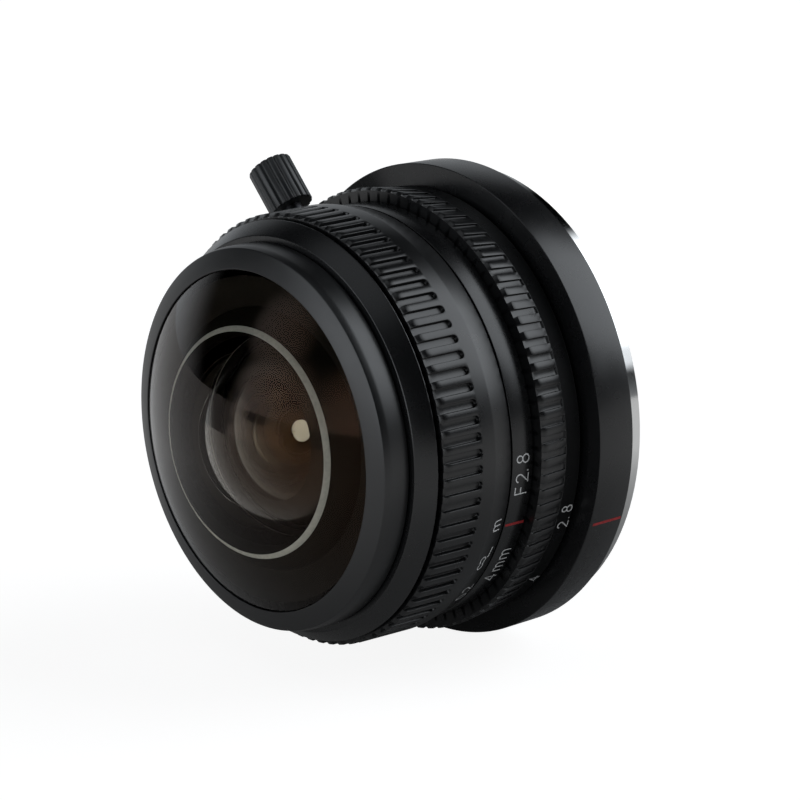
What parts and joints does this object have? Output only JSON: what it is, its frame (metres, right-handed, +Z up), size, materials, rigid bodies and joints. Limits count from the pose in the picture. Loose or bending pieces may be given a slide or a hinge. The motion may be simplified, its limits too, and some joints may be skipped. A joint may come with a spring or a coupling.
{
  "type": "camera lens",
  "caption": "Small black manual fisheye camera lens with a domed front glass, ribbed focusing and aperture rings, a knurled aperture lever and a bright bayonet ring.",
  "frame": {"origin": "centre of the bayonet ring's rear seat, on the optical axis", "axes": "+Y along the optical axis into the camera, -Y out through the front glass, +Z up, +X to the right seen from the front"},
  "size_m": [0.062, 0.0497, 0.062],
  "materials": {
    "black_satin": "black anodised, satin",
    "black_sanded": "black anodised, fine blasted",
    "bright_mount": "polished plating",
    "black_matt": "matt black anodised",
    "brass_thread": "turned, greased",
    "shim_steel": "rolled",
    "bright_screw": "bright",
    "dark_steel": "blackened",
    "blade_steel": "matt blackened",
    "coated_glass": "polished and coated"
  },
  "bodies": {
    "housing": {"mount_ring": "bright_mount", "mount_screws": "bright_screw", "mount_shim": "shim_steel", "rear_housing": "black_satin", "index_ring": "black_satin", "index_screws": "dark_steel", "focus_retainer": "black_matt", "guide_keys": "dark_steel", "key_screws": "bright_screw", "rear_baffle": "black_matt", "baffle_screws": "bright_screw"},
    "focusing_ring": {"focus_ring": "black_satin", "helicoid_ring": "brass_thread", "focus_clamp_ring": "black_matt"},
    "lens_unit": {"main_barrel": "black_matt", "front_barrel": "black_satin", "front_retaining_ring": "black_sanded", "glass_1_front_dome": "coated_glass", "glass_2_meniscus": "coated_glass", "glass_2_retainer": "black_matt", "glass_3_meniscus": "coated_glass", "glass_spacer": "black_matt", "glass_4_positive": "coated_glass", "glass_4_retainer": "black_matt", "glass_5_doublet_front": "coated_glass", "glass_6_doublet_rear": "coated_glass", "doublet_retainer": "black_matt", "glass_7_rear": "coated_glass", "rear_glass_retainer": "black_matt", "rear_cell": "black_matt", "iris_base_plate": "black_matt", "iris_spacer": "black_matt", "iris_cover": "black_matt"},
    "aperture_ring": {"aperture_ring": "black_satin", "lever_knob": "black_satin", "lever_stud": "dark_steel"},
    "iris_ring": {"iris_ring": "dark_steel", "iris_drive_pin": "dark_steel"},
    "iris_blade_1": {"iris_blade_1": "blade_steel"},
    "iris_blade_2": {"iris_blade_2": "blade_steel"},
    "iris_blade_3": {"iris_blade_3": "blade_steel"},
    "iris_blade_4": {"iris_blade_4": "blade_steel"},
    "iris_blade_5": {"iris_blade_5": "blade_steel"},
    "iris_blade_6": {"iris_blade_6": "blade_steel"}
  },
  "joints": [
    {"name": "focus_turn", "type": "hinge", "parent": "housing", "child": "focusing_ring", "pos_m": [0, -0.0253, 0], "axis": [0, -1, 0], "range_deg": [0, 90]},
    {"name": "focus_slide", "type": "slide", "parent": "housing", "child": "lens_unit", "axis": [0, -1, 0], "range_m": [0, 0.0004]},
    {"name": "aperture_turn", "type": "hinge", "parent": "housing", "child": "aperture_ring", "pos_m": [0, -0.0122, 0], "axis": [0, -1, 0], "range_deg": [0, 66]},
    {"name": "iris_turn", "type": "hinge", "parent": "lens_unit", "child": "iris_ring", "pos_m": [0, -0.0141, 0], "axis": [0, -1, 0], "range_deg": [0, 66]},
    {"name": "blade_1_swing", "type": "hinge", "parent": "lens_unit", "child": "iris_blade_1", "pos_m": [0.009, -0.0123, 0], "axis": [0, -1, 0], "range_deg": [0, 18.5]},
    {"name": "blade_2_swing", "type": "hinge", "parent": "lens_unit", "child": "iris_blade_2", "pos_m": [0.0045, -0.0123, 0.00779], "axis": [0, -1, 0], "range_deg": [0, 18.5]},
    {"name": "blade_3_swing", "type": "hinge", "parent": "lens_unit", "child": "iris_blade_3", "pos_m": [-0.0045, -0.0123, 0.00779], "axis": [0, -1, 0], "range_deg": [0, 18.5]},
    {"name": "blade_4_swing", "type": "hinge", "parent": "lens_unit", "child": "iris_blade_4", "pos_m": [-0.009, -0.0123, 0], "axis": [0, -1, 0], "range_deg": [0, 18.5]},
    {"name": "blade_5_swing", "type": "hinge", "parent": "lens_unit", "child": "iris_blade_5", "pos_m": [-0.0045, -0.0123, -0.00779], "axis": [0, -1, 0], "range_deg": [0, 18.5]},
    {"name": "blade_6_swing", "type": "hinge", "parent": "lens_unit", "child": "iris_blade_6", "pos_m": [0.0045, -0.0123, -0.00779], "axis": [0, -1, 0], "range_deg": [0, 18.5]}
  ],
  "couplings": [
    {"joint": "focus_slide", "follows": "focus_turn", "m_per_rad": 0.0002546},
    {"joint": "iris_turn", "follows": "aperture_turn", "ratio": 1},
    {"joint": "blade_1_swing", "follows": "aperture_turn", "ratio": 0.2803},
    {"joint": "blade_2_swing", "follows": "aperture_turn", "ratio": 0.2803},
    {"joint": "blade_3_swing", "follows": "aperture_turn", "ratio": 0.2803},
    {"joint": "blade_4_swing", "follows": "aperture_turn", "ratio": 0.2803},
    {"joint": "blade_5_swing", "follows": "aperture_turn", "ratio": 0.2803},
    {"joint": "blade_6_swing", "follows": "aperture_turn", "ratio": 0.2803}
  ]
}
